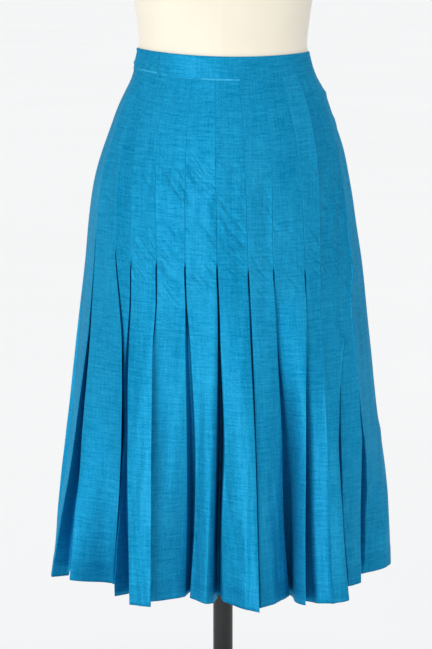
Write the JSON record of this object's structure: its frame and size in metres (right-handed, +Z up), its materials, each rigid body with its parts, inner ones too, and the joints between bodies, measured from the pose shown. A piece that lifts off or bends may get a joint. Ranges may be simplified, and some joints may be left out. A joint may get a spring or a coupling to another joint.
{
  "type": "pleated skirt on a dress form",
  "caption": "Knee-length skirt of slubbed silk with stitched-down knife pleats and a plain waistband, worn by a limbless dress form on a round stand.",
  "frame": {"origin": "centre of the stand's round base, on its underside", "axes": "+Z up, along the pole and out of the form's neck; -Y is the front of the skirt, and the waistband closes on the -X side of the front"},
  "size_m": [0.4839, 0.4094, 1.5],
  "materials": {
    "silk": "satin",
    "silk_band": "satin",
    "form_cover": "matte",
    "grey_paint": "satin"
  },
  "bodies": {
    "root": {"skirt_front": "silk", "skirt_back": "silk", "waistband": "silk_band", "form_torso": "form_cover", "form_pole": "grey_paint", "form_base": "grey_paint"}
  },
  "joints": []
}
